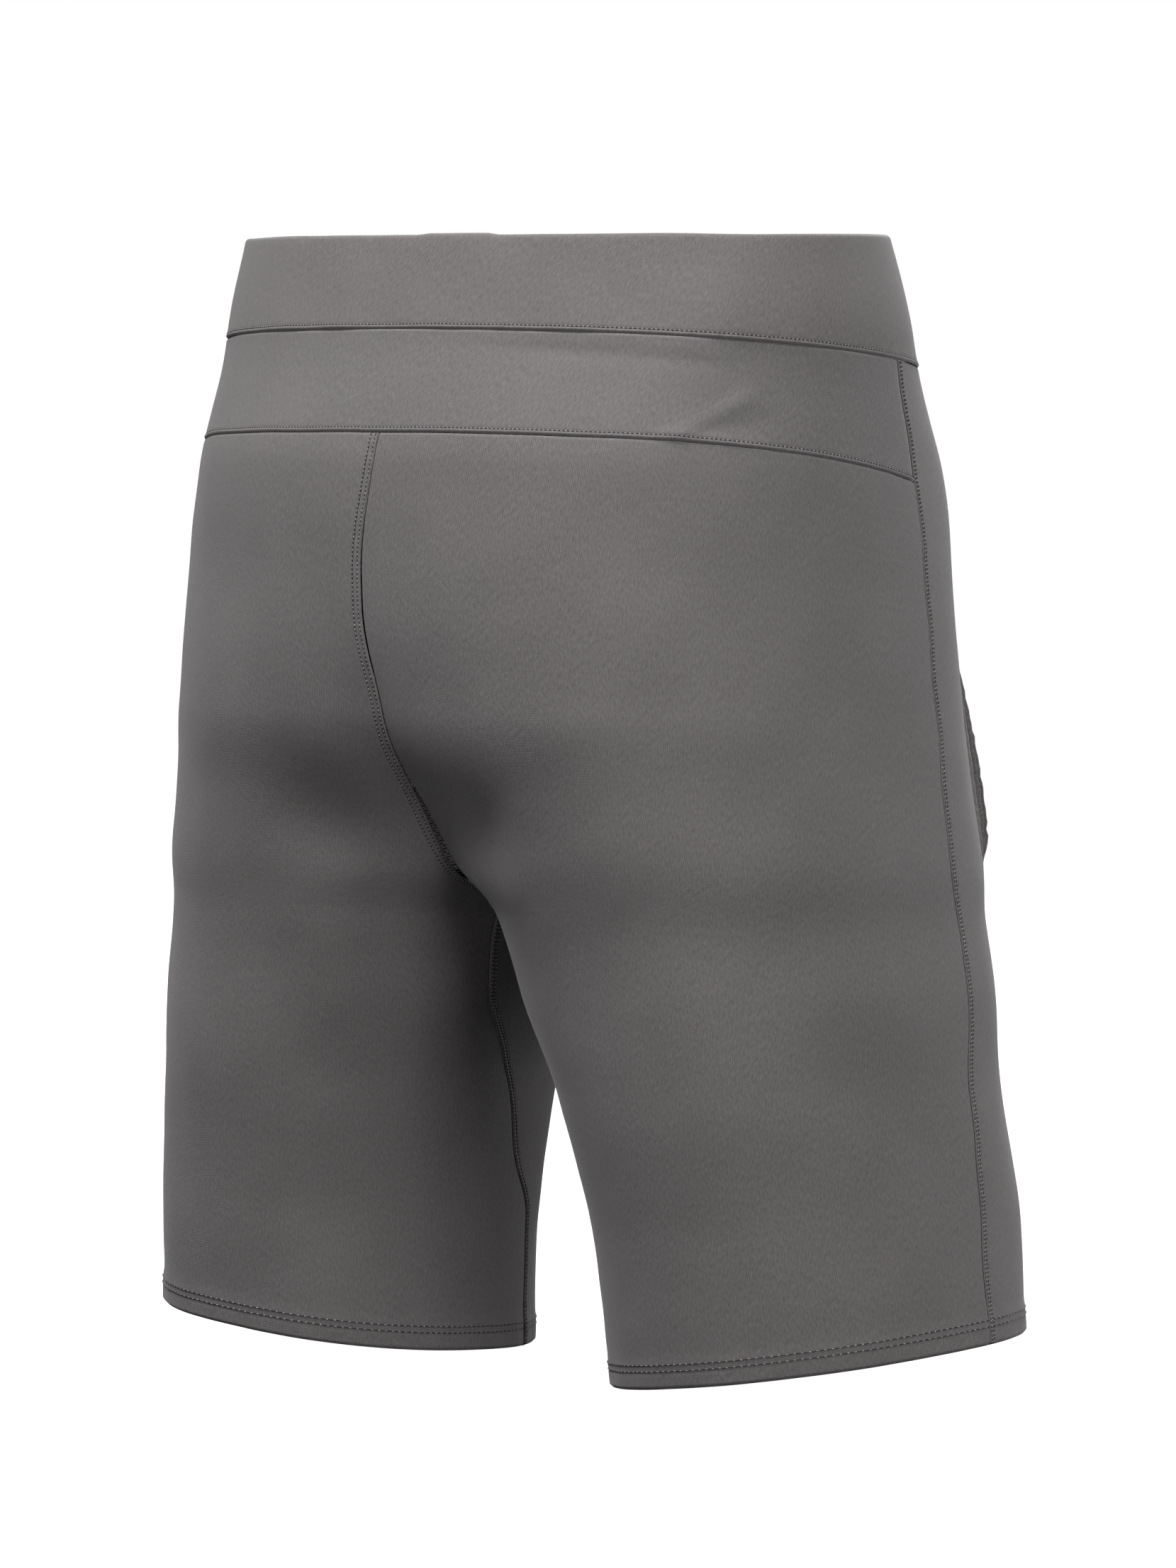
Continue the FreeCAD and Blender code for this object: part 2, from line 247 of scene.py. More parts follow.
def centre_turn(level, back, x=0.0):
    """Turn where one half reaches the centre plane, or x from it, at the back or the front."""
    level = np.asarray(level, float)
    outer_end = np.full(level.shape, math.pi / 2 - 0.3 if back else 1.5 * math.pi + 0.3)
    inner_end = np.full(level.shape, math.pi)
    for _ in range(26):
        middle = (outer_end + inner_end) / 2
        inside = body("left", level, middle)[..., 0] < x
        inner_end = np.where(inside, middle, inner_end)
        outer_end = np.where(inside, outer_end, middle)
    return (outer_end + inner_end) / 2


def smooth(t):
    """Eased step from 0 to 1."""
    t = np.clip(t, 0.0, 1.0)
    return t * t * (3 - 2 * t)


def back_inner_turn(side, level):
    """Inner edge of a back panel: the inseam, then the centre seam, which wanders to the left."""
    wander = 4.0 * smooth((level - 285) / 45) - 7.0 * smooth((level - 345) / 60)
    crossing = centre_turn(np.maximum(level, 197.0), True, SIGN[side] * wander)
    return np.where(level < SEAM_TOP, inseam_turn(level), np.minimum(inseam_turn(level), crossing))


def front_inner_turn(level):
    """Inner edge of a front panel before it is trimmed on the centre plane."""
    crossing = centre_turn(np.maximum(level, SEAM_TOP), False, -FRONT_SPARE)
    ease = smooth((level - SEAM_TOP) / CROTCH_EASE)
    return inseam_turn(np.minimum(level, SEAM_TOP)) * (1 - ease) + crossing * ease


def pocket_turn(level):
    """The line of the hand pocket's mouth, run on up and down the front panel."""
    (low_y, low), (high_y, high) = POCKET_LOW, POCKET_HIGH
    y = low_y + (high_y - low_y) * smooth((level - low + 15) / (high - low + 30))
    return 2 * math.pi + turn_at_y(level, y, False)


# ---------------------------------------------------------------- cloth meshes
def spacing(length, first=True, last=True, coarse=COARSE):
    """Places from 0 to 1 along a length in millimetres, close together beside a seam."""
    fine = [0.35, 0.35, 0.4, 0.4, 0.4, 0.4, 0.5, 0.6, 0.7, 0.9, 1.2, 1.5, 1.9, 2.4]
    start = np.concatenate([[0.0], np.cumsum(fine)]) if first else np.array([0.0])
    end = length - (np.concatenate([[0.0], np.cumsum(fine)]) if last else np.array([0.0]))[::-1]
    middle = np.linspace(start[-1], end[0], max(3, int((end[0] - start[-1]) / coarse) + 1))
    return np.concatenate([start, middle[1:-1], end]) / length


def running_length(points, axis):
    """Length along the cloth from the first row or column, in millimetres."""
    steps = np.linalg.norm(np.diff(points, axis=axis), axis=-1)
    start = np.zeros_like(np.take(steps, [0], axis=axis))
    return np.concatenate([start, np.cumsum(steps, axis=axis)], axis=axis)


def ripple(points, seed, wavelengths, amount):
    """Gentle uneven height over points in millimetres, the same on every run."""
    rng = np.random.RandomState(seed)
    total = np.zeros(points.shape[:-1])
    for _ in range(14):
        direction = rng.normal(size=3)
        direction /= np.linalg.norm(direction)
        wavelength = rng.uniform(*wavelengths)
        total += np.sin(points @ direction * 2 * math.pi / wavelength + rng.uniform(0, 2 * math.pi))
    return total * amount / math.sqrt(7)


def ditch(distance, depth=0.6, width=0.5):
    """A cut edge that turns down into its seam."""
    return -depth * np.exp(-(distance / width) ** 2)


def stitched_edge(distance, along, rows, seed):
    """A folded edge with its ridge, its rows of stitching and the puckers they pull."""
    height = ditch(distance)
    height = height + 0.42 * np.exp(-((distance - rows[0] * 0.5) / 0.8) ** 2)
    for row in rows:
        height = height - 0.3 * np.exp(-((distance - row) / 0.42) ** 2)
    rng = np.random.RandomState(seed)
    pull = sum(np.sin(along * 2 * math.pi / rng.uniform(5, 13) + rng.uniform(0, 6)) for _ in range(4))
    return height + 0.07 * pull * np.exp(-distance / 6.0) * smooth(distance / 1.2)


class Panel:
    """One piece of cloth as a grid of points: rows go up, columns go round."""

    def __init__(self, side, points, normals, levels=None):
        self.side, self.points, self.normals, self.levels = side, points, normals, levels
        self.measure()

    def measure(self):
        self.across = running_length(self.points, 1)
        self.up = running_length(self.points, 0)
        self.across_back = self.across[:, -1:] - self.across
        self.down = self.up[-1:, :] - self.up

    def raise_by(self, height):
        self.points = self.points + self.normals * height[..., None]

    def line(self, edge, distance, lift=0.0):
        """Points and normals of a line at a distance from one edge."""
        by_row = edge in ("first_column", "last_column")
        field = {"first_column": self.across, "last_column": self.across_back,
                 "first_row": self.up, "last_row": self.down}[edge]
        count = self.points.shape[0 if by_row else 1]
        spots, outs = [], []
        for i in range(count):
            measure = field[i] if by_row else field[:, i]
            points = self.points[i] if by_row else self.points[:, i]
            normals = self.normals[i] if by_row else self.normals[:, i]
            order = np.argsort(measure)
            spots.append([np.interp(distance, measure[order], points[order, k]) for k in range(3)])
            outs.append([np.interp(distance, measure[order], normals[order, k]) for k in range(3)])
        spots, outs = np.array(spots), np.array(outs)
        outs /= np.linalg.norm(outs, axis=1, keepdims=True)
        return spots + outs * lift, outs


def solve_panel(side, columns, rows, first_turn, last_turn, low, high):
    """Panel between two turns and two levels, each of which depends on the other."""
    u, v = np.meshgrid(columns, rows)
    levels = v * 400.0
    for _ in range(9):
        turns = first_turn(levels) * (1 - u) + last_turn(levels) * u
        spot = body(side, levels, turns)
        bottom, top = low(spot), high(spot)
        levels = bottom + (top - bottom) * v
    turns = first_turn(levels) * (1 - u) + last_turn(levels) * u
    return Panel(side, body(side, levels, turns), body_normal(side, levels, turns), levels)


def select_only(obj):
    """Leaves one object selected and active."""
    bpy.ops.object.select_all(action="DESELECT")
    obj.select_set(True)
    bpy.context.view_layer.objects.active = obj


def new_object(name, vertices, faces, uv=None):
    """Smooth-shaded mesh object in the frame, with cloth lengths as its UV map."""
    mesh = bpy.data.meshes.new(name)
    mesh.from_pydata([tuple(v) for v in vertices], [], faces)
    if uv is not None:
        layer = mesh.uv_layers.new(name="cloth")
        corner = np.zeros(len(mesh.loops), dtype=np.int32)
        mesh.loops.foreach_get("vertex_index", corner)
        layer.data.foreach_set("uv", np.asarray(uv, np.float32)[corner].ravel())
    mesh.polygons.foreach_set("use_smooth", [True] * len(mesh.polygons))
    mesh.update()
    obj = bpy.data.objects.new(name, mesh)
    bpy.context.collection.objects.link(obj)
    return obj


def grid_faces(rows, columns, start=0, closed=False, flip=False):
    """Quads of a grid whose vertices run along each row."""
    faces = []
    last = columns if closed else columns - 1
    for i in range(rows - 1):
        for j in range(last):
            k = (j + 1) % columns
            quad = (start + i * columns + j, start + i * columns + k,
                    start + (i + 1) * columns + k, start + (i + 1) * columns + j)
            faces.append(quad[::-1] if flip else quad)
    return faces


def give_thickness(obj, thick):
    """Turns a surface into cloth, with its thickness inwards."""
    select_only(obj)
    bpy.ops.object.modifier_add(type="SOLIDIFY")
    modifier = obj.modifiers[-1]
    modifier.thickness = thick * MM
    modifier.offset = -1.0
    bpy.ops.object.modifier_apply(modifier=modifier.name)
    return obj


def trim_at_centre(obj, side):
    """Cuts a piece off just past the centre plane and keeps its own side."""
    work = bmesh.new()
    work.from_mesh(obj.data)
    bmesh.ops.bisect_plane(work, geom=work.verts[:] + work.edges[:] + work.faces[:],
                           plane_co=(-SIGN[side] * SEAM_LAP * MM, 0, 0), plane_no=(SIGN[side], 0, 0),
                           clear_inner=True)
    work.to_mesh(obj.data)
    work.free()
    obj.data.update()


def cloth_uv(panel):
    """Cloth lengths in metres: across the grain and along it."""
    middle = panel.points.shape[0] // 2
    across = panel.across * 0.4 + panel.across[middle][None, :] * 0.6
    return np.stack([across, panel.up], -1).reshape(-1, 2) * MM


# ---------------------------------------------------------------- finishes
BY_MILLIMETRE = (1000, 1000, 1000)      # scale that turns metres into millimetres


def linear(value):
    """Light value of a colour step from 0 to 255."""
    value = value / 255
    return value / 12.92 if value <= 0.04045 else ((value + 0.055) / 1.055) ** 2.4


def colour(red, green, blue):
    return (linear(red), linear(green), linear(blue), 1.0)


class Shading:
    """A node tree, with short ways to add the nodes that the finishes share."""

    def __init__(self, tree):
        self.nodes, self.links = tree.nodes, tree.links

    def placed(self, socket, scale, turn):
        mapping = self.nodes.new("ShaderNodeMapping")
        mapping.inputs["Scale"].default_value = scale
        mapping.inputs["Rotation"].default_value = (0, 0, math.radians(turn))
        self.links.new(socket, mapping.inputs["Vector"])
        return mapping.outputs["Vector"]

    def on_cloth(self, turn=0.0, scale=BY_MILLIMETRE):
        """Lengths along the cloth, turned by some degrees."""
        source = self.nodes.new("ShaderNodeUVMap")
        source.uv_map = "cloth"
        return self.placed(source.outputs["UV"], scale, turn)

    def in_space(self, scale=BY_MILLIMETRE, turn=0.0):
        """Places in the frame."""
        source = self.nodes.new("ShaderNodeTexCoord")
        return self.placed(source.outputs["Object"], scale, turn)

    def noise(self, vector, scale, detail=2.0, roughness=0.5):
        texture = self.nodes.new("ShaderNodeTexNoise")
        texture.inputs["Scale"].default_value = scale
        texture.inputs["Detail"].default_value = detail
        texture.inputs["Roughness"].default_value = roughness
        self.links.new(vector, texture.inputs["Vector"])
        return texture.outputs["Fac"]

    def wave(self, vector, pitch, distortion):
        """Ribs across the first direction of a vector in millimetres."""
        texture = self.nodes.new("ShaderNodeTexWave")
        texture.wave_type = "BANDS"
        texture.bands_direction = "X"
        texture.inputs["Scale"].default_value = 2 * math.pi / (20 * pitch)
        texture.inputs["Distortion"].default_value = distortion
        texture.inputs["Detail"].default_value = 1.0
        texture.inputs["Detail Scale"].default_value = 1.5
        self.links.new(vector, texture.inputs["Vector"])
        return texture.outputs["Fac"]

    def maths(self, operation, first, second):
        node = self.nodes.new("ShaderNodeMath")
        node.operation = operation
        for socket, value in zip(node.inputs, (first, second)):
            if isinstance(value, (int, float)):
                socket.default_value = value
            else:
                self.links.new(value, socket)
        return node.outputs[0]

    def weighted(self, *terms):
        """Sum of (value, weight) pairs."""
        parts = [self.maths("MULTIPLY", value, weight) for value, weight in terms]
        total = parts[0]
        for part in parts[1:]:
            total = self.maths("ADD", total, part)
        return total

    def ramp(self, factor, stops):
        node = self.nodes.new("ShaderNodeValToRGB")
        elements = node.color_ramp.elements
        while len(elements) < len(stops):
            elements.new(0.5)
        for element, (place, shade) in zip(elements, stops):
            element.position = place
            element.color = shade
        self.links.new(factor, node.inputs["Fac"])
        return node.outputs["Color"]


class Finish(Shading):
    """A new material with one surface shader."""

    def __init__(self, name):
        self.material = bpy.data.materials.new(name)
        self.material.use_nodes = True
        super().__init__(self.material.node_tree)
        self.nodes.clear()
        output = self.nodes.new("ShaderNodeOutputMaterial")
        self.shader = self.nodes.new("ShaderNodeBsdfPrincipled")
        self.links.new(self.shader.outputs["BSDF"], output.inputs["Surface"])

    def set(self, socket, value):
        self.shader.inputs[socket].default_value = value

    def tint(self, factor, *stops):
        self.links.new(self.ramp(factor, stops), self.shader.inputs["Base Color"])

    def rough(self, factor, amount, least):
        rough = self.maths("ADD", self.maths("MULTIPLY", factor, amount), least)
        self.links.new(rough, self.shader.inputs["Roughness"])

    def bump(self, height, strength, distance):
        node = self.nodes.new("ShaderNodeBump")
        node.inputs["Strength"].default_value = strength
        node.inputs["Distance"].default_value = distance * MM
        self.links.new(height, node.inputs["Height"])
        self.links.new(node.outputs["Normal"], self.shader.inputs["Normal"])


def knit(name, dark, light, turn=0.0, pitch=0.9, sheen=0.2):
    """Fine stretch knit: small slanted loops, a mottled yarn and a soft bloom."""
    finish = Finish(name)
    wales = finish.wave(finish.on_cloth(turn), pitch, 1.6)
    courses = finish.wave(finish.on_cloth(turn + 62), pitch * 0.8, 1.2)
    weave = finish.maths("MULTIPLY", wales, courses)
    yarn = finish.noise(finish.on_cloth(turn, (1500, 520, 1000)), 0.75, 2.0, 0.6)
    patches = finish.noise(finish.in_space((14, 14, 14)), 1.0, 3.0)
    tone = finish.weighted((yarn, 0.62), (patches, 0.18), (weave, 0.28))
    finish.tint(tone, (0.22, dark), (0.82, light))
    finish.rough(yarn, 0.16, 0.68)
    finish.set("Sheen Weight", sheen)
    finish.set("Sheen Roughness", 0.45)
    finish.set("Specular IOR Level", 0.35)
    finish.bump(finish.weighted((weave, 0.7), (yarn, 0.6)), 0.55, 0.16)
    return finish.material


def net(name, thread, opening_shade, width, height, turn):
    """Coarse mesh: rows of offset openings between light threads; the openings are not cut but painted
    dark as the shade seen through them.
    """
    finish = Finish(name)
    vector = finish.on_cloth(turn)
    brick = finish.nodes.new("ShaderNodeTexBrick")
    brick.inputs["Scale"].default_value = 1.0
    brick.inputs["Brick Width"].default_value = width
    brick.inputs["Row Height"].default_value = height
    brick.inputs["Mortar Size"].default_value = height * 0.2
    brick.inputs["Mortar Smooth"].default_value = 0.6
    # painted shade in the openings, a little lighter in every other brick
    brick.inputs["Color1"].default_value = opening_shade
    brick.inputs["Color2"].default_value = tuple(c * 1.5 for c in opening_shade[:3]) + (1.0,)
    brick.inputs["Mortar"].default_value = thread
    finish.links.new(vector, brick.inputs["Vector"])
    finish.links.new(brick.outputs["Color"], finish.shader.inputs["Base Color"])
    fuzz = finish.noise(vector, 3.0)
    finish.rough(fuzz, 0.2, 0.6)
    raised = finish.maths("ADD", brick.outputs["Fac"], finish.maths("MULTIPLY", fuzz, 0.3))
    finish.bump(raised, 0.9, 0.5)
    return finish.material


def ribbed(name, dark, light, pitch, cross_pitch):
    """Ribbed elastic or woven tape."""
    finish = Finish(name)
    vector = finish.on_cloth()
    ribs = finish.wave(vector, pitch, 0.4)
    picks = finish.wave(finish.on_cloth(90), cross_pitch, 0.3)
    fuzz = finish.noise(vector, 1.4, 3.0)
    weave = finish.maths("MULTIPLY", ribs, finish.maths("ADD", picks, 0.5))
    finish.tint(finish.weighted((weave, 0.6), (fuzz, 0.4)), (0.15, dark), (0.9, light))
    finish.rough(fuzz, 0.2, 0.6)
    finish.set("Sheen Weight", 0.15)
    finish.bump(weave, 0.7, 0.3)
    return finish.material


def foam(name, dark, light):
    """Closed-cell foam with fine pores."""
    finish = Finish(name)
    vector = finish.in_space()
    cells = finish.nodes.new("ShaderNodeTexVoronoi")
    cells.inputs["Scale"].default_value = 0.9
    finish.links.new(vector, cells.inputs["Vector"])
    skin = finish.noise(vector, 0.12, 4.0)
    mix = finish.weighted((cells.outputs["Distance"], 0.5), (skin, 0.5))
    finish.tint(mix, (0.2, dark), (0.8, light))
    finish.rough(skin, 0.15, 0.78)
    finish.bump(mix, 0.5, 0.25)
    return finish.material


def thread_finish(name, dark, light):
    """Twisted polyester sewing thread."""
    finish = Finish(name)
    vector = finish.in_space(turn=35)
    ply = finish.wave(vector, 0.3, 0.8)
    fibre = finish.noise(vector, 0.5)
    finish.tint(finish.weighted((ply, 0.5), (fibre, 0.5)), (0.2, dark), (0.8, light))
    finish.rough(fibre, 0.2, 0.42)
    finish.bump(ply, 0.4, 0.08)
    return finish.material


stretch_fabric = knit("stretch_knit", colour(80, 77, 77), colour(124, 120, 120), 12, 0.9)
waistband_fabric = knit("waistband_knit", colour(82, 79, 79), colour(127, 123, 122), 0, 0.85)
facing_fabric = knit("brushed_facing", colour(70, 69, 69), colour(108, 106, 106), 0, 1.1, 0.35)
# the third colour of each net is the painted shade in its openings
pocket_net = net("pocket_net", colour(112, 108, 104), colour(38, 36, 36), 2.4, 1.2, 28)
sleeve_net = net("sleeve_net", colour(70, 70, 72), colour(26, 26, 28), 2.6, 1.3, 0)
elastic_band = ribbed("ribbed_elastic", colour(42, 42, 44), colour(86, 86, 88), 1.6, 0.7)
label_tape = ribbed("woven_tape", colour(168, 167, 168), colour(216, 215, 214), 0.5, 0.45)
pad_foam = foam("pad_foam", colour(52, 54, 58), colour(84, 87, 92))
# one thread in two copies: a lit one, and one painted dark as the shade in the stitch holes
lit_thread = thread_finish("lit_thread", colour(122, 118, 117), colour(178, 173, 171))
shaded_thread = thread_finish("shaded_thread", colour(27, 26, 26), colour(48, 46, 46))


def finish_piece(obj, material):
    """Gives a piece its finish."""
    if not obj.data.materials:
        obj.data.materials.append(material)
    return obj


def bend_at_hip(obj):
    """Bakes a piece's placement into its mesh."""
    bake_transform(obj)


# ---------------------------------------------------------------- the back and front panels
def back_panel(side):
    """Seat and back of one leg in one cut, from the hem to the yoke."""
    stitched = side == "left"
    panel = solve_panel(
        side, spacing(250.0), spacing(395.0),
        side_turn, lambda level: back_inner_turn(side, level),
        lambda p: hem_level(side, p[..., 0], p[..., 1]),
        lambda p: arc_level(YOKE_SEAM, p[..., 1]) - SEAM_GAP)
    seam_top = panel.levels > SEAM_TOP
    height = cloth_rise(panel) + seat_fold(panel) + ditch(panel.across) + ditch(panel.down)
    if stitched:
        centre = stitched_edge(panel.across_back, panel.up, CENTRE_ROWS, 3)
    else:
        centre = ditch(panel.across_back)
    height = height + np.where(seam_top, centre, ditch(panel.across_back))
    height = height + hem_band(panel)
    panel.raise_by(height)
    return panel


def seat_fold(panel):
    """The cloth draws in under each half of the seat, beside the centre seam."""
    from_middle, level = np.abs(panel.points[..., 0]), panel.levels
    return -SEAT_FOLD * np.exp(-((from_middle - 36) / 27) ** 2 - ((level - 236) / 21) ** 2)


def cloth_rise(panel):
    """Soft unevenness of stretched cloth."""
    return ripple(panel.points, 11, (45, 110), 0.38) + ripple(panel.points, 5, (16, 30), 0.05)


def hem_band(panel):
    """Double cloth above the hem, its two rows of coverstitch, and a soft rolled edge."""
    up, around = panel.up, panel.across
    band = 0.4 * (smooth(up / 1.5) - smooth((up - HEM_ROWS[1] - 0.4) / 1.6))
    for row in HEM_ROWS:
        band = band - 0.25 * np.exp(-((up - row) / 0.55) ** 2)
    pucker = (0.16 * np.sin(around * 2 * math.pi / 21 + 1.3)
              + 0.07 * np.sin(around * 2 * math.pi / 6.6))
    band = band + pucker * np.exp(-((up - HEM_ROWS[0]) / 8.0) ** 2)
    return band - 0.8 * np.exp(-(up / 0.7) ** 2)


def front_panel(side):
    """Two grids that meet on the line of the pocket mouth."""
    def low(p):
        return hem_level(side, p[..., 0], p[..., 1])

    def high(p):
        return arc_level(WAISTBAND_SEAM, p[..., 1]) - SEAM_GAP

    rows = spacing(435.0)
    inner = solve_panel(side, spacing(205.0), rows, front_inner_turn, pocket_turn, low, high)
    outer = solve_panel(side, spacing(62.0), rows, pocket_turn,
                        lambda level: 2 * math.pi + side_turn(level), low, high)
    for part in (inner, outer):
        height = cloth_rise(part) + ditch(part.down)
        if part is outer:
            height = height + stitched_edge(part.across_back, part.up, SIDE_ROWS, 7)
            mouth = part.across
        else:
            on_leg = smooth((SEAM_TOP - part.levels) / 3.0)
            height = height + on_leg * stitched_edge(part.across, part.up, INSEAM_ROWS, 9)
            slope = np.sqrt(np.maximum(1 - part.normals[..., 0] ** 2, 0.02))
            from_centre = np.abs(part.points[..., 0]) / slope
            centre = stitched_edge(from_centre, part.up, CENTRE_ROWS, 4)
            height = height + (1 - on_leg) * centre
            mouth = part.across_back
        height = height + hem_band(part)
        opening, edge = pocket_opening(part)
        height = height + edge * stitched_edge(mouth, part.up, POCKET_ROWS, 15)
        part.raise_by(height)
        run = np.gradient(part.points, axis=1)
        run /= np.maximum(np.linalg.norm(run, axis=-1, keepdims=True), 1e-9)
        # the front edge of the mouth stands away further than the rear edge
        gape = opening * np.exp(-mouth / 16.0) * (0.25 if part is outer else -0.75)
        part.points = part.points + run * gape[..., None]
    return inner, outer


def pocket_opening(part):
    """Width of the gaping mouth, and how much of a folded edge there is, at each level."""
    low, high = POCKET_LOW[1], POCKET_HIGH[1]
    t = np.clip((part.levels - low) / (high - low), 0, 1)
    width = POCKET_GAPE * np.sin(math.pi * t ** 0.5)
    inside = smooth((part.levels - low + 6) / 6) * smooth((high + 6 - part.levels) / 6)
    return width, inside


def join_front(name, side, inner, outer):
    """One mesh of both grids, open only along the pocket mouth."""
    rows, first = inner.points.shape[:2]
    second = outer.points.shape[1]
    vertices = np.concatenate([inner.points.reshape(-1, 3), outer.points.reshape(-1, 3)])
    uv = np.concatenate([cloth_uv(inner), cloth_uv(outer) + np.array([0.205, 0.0])])
    flip = side == "right"
    faces = (grid_faces(rows, first, flip=flip)
             + grid_faces(rows, second, rows * first, flip=flip))
    level = inner.levels[:, -1]
    shut = (level <= POCKET_LOW[1]) | (level >= POCKET_HIGH[1])
    swap = {rows * first + i * second: i * first + first - 1 for i in range(rows) if shut[i]}
    faces = [tuple(swap.get(k, k) for k in face) for face in faces]
    obj = new_object(name, placed(vertices), faces, uv)
    work = bmesh.new()
    work.from_mesh(obj.data)
    loose = [v for v in work.verts if not v.link_faces]
    bmesh.ops.delete(work, geom=loose, context="VERTS")
    work.to_mesh(obj.data)
    work.free()
    return obj


def panel_object(name, panel, closed=False):
    """Mesh of one panel, closed into a ring where it goes all the way round."""
    rows, columns = panel.points.shape[:2]
    faces = grid_faces(rows, columns, closed=closed, flip=panel.side == "right")
    return new_object(name, placed(panel.points.reshape(-1, 3)), faces, cloth_uv(panel))


# ---------------------------------------------------------------- rings round the waist and hems
def trunk_ring(rows_of, columns_per_half, inset_of):
    """Closed rings round the trunk. rows_of gives each row's level over y; the ring goes
    from the centre front by the left side to the centre back and on by the right side."""
    u = np.linspace(0, 1, columns_per_half, endpoint=False)
    halves = []
    for side, places in (("left", u), ("right", 1 - u)):
        level = np.full((len(inset_of), len(places)), 450.0)
        for _ in range(6):
            front = centre_turn(level, False) - 2 * math.pi
            back = centre_turn(level, True)
            turns = front * (1 - places) + back * places
            spot = body(side, level, turns)
            level = rows_of(spot)
        halves.append((body(side, level, turns, inset_of[:, None]), body_normal(side, level, turns)))
    points = np.concatenate([h[0] for h in halves], axis=1)
    normals = np.concatenate([h[1] for h in halves], axis=1)
    return points, normals


def waistband():
    """The outer band from its seam up, over the rolled top edge and a little way down inside."""
    steps = [0.35, 0.35, 0.4, 0.4, 0.4, 0.4, 0.5, 0.6, 0.8, 1.1, 1.5, 2.0]
    seam_up = np.concatenate([[0], np.cumsum(steps)])
    rise = np.concatenate([seam_up / 48.0, np.linspace(0.2, 1.0, 16)])
    roll = np.linspace(0, math.pi, 9)[1:]
    insets = np.concatenate([np.zeros(len(rise)), BAND_ROLL - BAND_ROLL * np.cos(roll),
                             [2 * BAND_ROLL, 2 * BAND_ROLL]])
    top = TOTAL_RISE - BAND_ROLL
    drops = np.concatenate([BAND_ROLL * np.sin(roll), [-1.6, -3.4]])

    def rows_of(spot):
        seam = arc_level(WAISTBAND_SEAM, spot[..., 1]) + SEAM_GAP
        count = len(rise)
        level = np.empty(spot.shape[:2])
        level[:count] = seam[:count] + (top - seam[:count]) * rise[:, None]
        level[count:] = top + drops[:, None]
        return level

    points, normals = trunk_ring(rows_of, 190, insets)
    band = Panel("left", points, normals)
    outside = np.arange(len(insets)) < len(rise)
    height = np.where(outside[:, None], stitched_edge(band.up, band.across, BAND_ROWS, 21), 0.0)
    height = height + ripple(band.points, 31, (30, 70), 0.22)
    top_wave = ripple(band.points, 41, (50, 120), 0.25)
    band.raise_by(height)
    # a short stretch of the top edge stands a little higher behind, right of the middle
    x = band.points[..., 0]
    behind = band.points[..., 1] > 60
    lift = 0.7 * smooth((x + 44) / 6) * smooth((-1 - x) / 6) * behind
    near_top = smooth((band.points[..., 2] - 476) / 10)
    band.points[..., 2] += (lift + top_wave) * near_top
    return band


def facing():
    """The soft inner facing, from just above the waistband seam to just under the top."""
    rise = np.concatenate([np.linspace(0, 0.15, 6), np.linspace(0.2, 1.0, 14)])

    def rows_of(spot):
        seam = arc_level(WAISTBAND_SEAM, spot[..., 1]) + 1.0
        return seam + (486.0 - seam) * rise[:, None]

    points, normals = trunk_ring(rows_of, 150, np.full(len(rise), FACING_START))
    ring = Panel("left", points, normals)
    inward = -0.3 * np.exp(-((ring.up - 2.5) / 0.6) ** 2) + 0.3 * np.exp(-(ring.up / 1.2) ** 2)
    ring.raise_by(-inward + ripple(ring.points, 61, (12, 40), 0.15))
    return ring


def elastic():
    """The ribbed elastic inside the top of the waistband."""
    top = TOTAL_RISE - ELASTIC_TOP_DROP
    rise = np.linspace(0, 1, 24)

    def rows_of(spot):
        return np.repeat((top - ELASTIC_HEIGHT + ELASTIC_HEIGHT * rise)[:, None], spot.shape[1], axis=1)

    points, normals = trunk_ring(rows_of, 330, np.full(len(rise), ELASTIC_START))
    ring = Panel("left", points, normals)
    ribs = 0.12 * np.sin(ring.up * 2 * math.pi / 4.0) + 0.05 * np.sin(ring.across * 2 * math.pi / 6.5)
    ring.raise_by(ribs)
    return ring


def yoke():
    """From the right side seam round the back to the left one."""
    rows = spacing(48.0, coarse=2.2)
    half = spacing(215.0, first=False, last=True, coarse=2.6)
    pieces = []
    for side, places in (("right", 1 - half), ("left", half)):
        u, v = np.meshgrid(places, rows)
        u = 1 - u
        level = np.full(u.shape, 420.0)
        for _ in range(8):
            turns = side_turn(level) * (1 - u) + centre_turn(level, True) * u
            spot = body(side, level, turns)
            low = arc_level(YOKE_SEAM, spot[..., 1]) + SEAM_GAP
            high = arc_level(WAISTBAND_SEAM, spot[..., 1]) - SEAM_GAP
            level = low + (high - low) * v
        points, normals = body(side, level, turns), body_normal(side, level, turns)
        if side == "left":
            points, normals = points[:, 1:], normals[:, 1:]
        pieces.append((points, normals))
    points = np.concatenate([p[0] for p in pieces], axis=1)
    normals = np.concatenate([p[1] for p in pieces], axis=1)
    # the rows run from the right to the left, so they are turned to run as on a left half
    panel = Panel("left", points[:, ::-1], normals[:, ::-1])
    height = stitched_edge(panel.up, panel.across, BAND_ROWS, 51) + ditch(panel.down)
    height = height + ditch(panel.across) + ditch(panel.across_back) + cloth_rise(panel)
    # shallow folds where the yoke pulls over the right hip
    x, y, level = [panel.points[..., k] for k in range(3)]
    for start_y, end_y, start_level, end_level, amount, width in YOKE_FOLDS:
        share = (y - start_y) / (end_y - start_y)
        line = start_level + (end_level - start_level) * share
        fade = smooth(share * 3 + 0.5) * smooth((1 - share) * 3 + 0.5) * (x < 0)
        height = height + amount * fade * np.exp(-((level - line) / width) ** 2)
    panel.raise_by(height)
    return panel


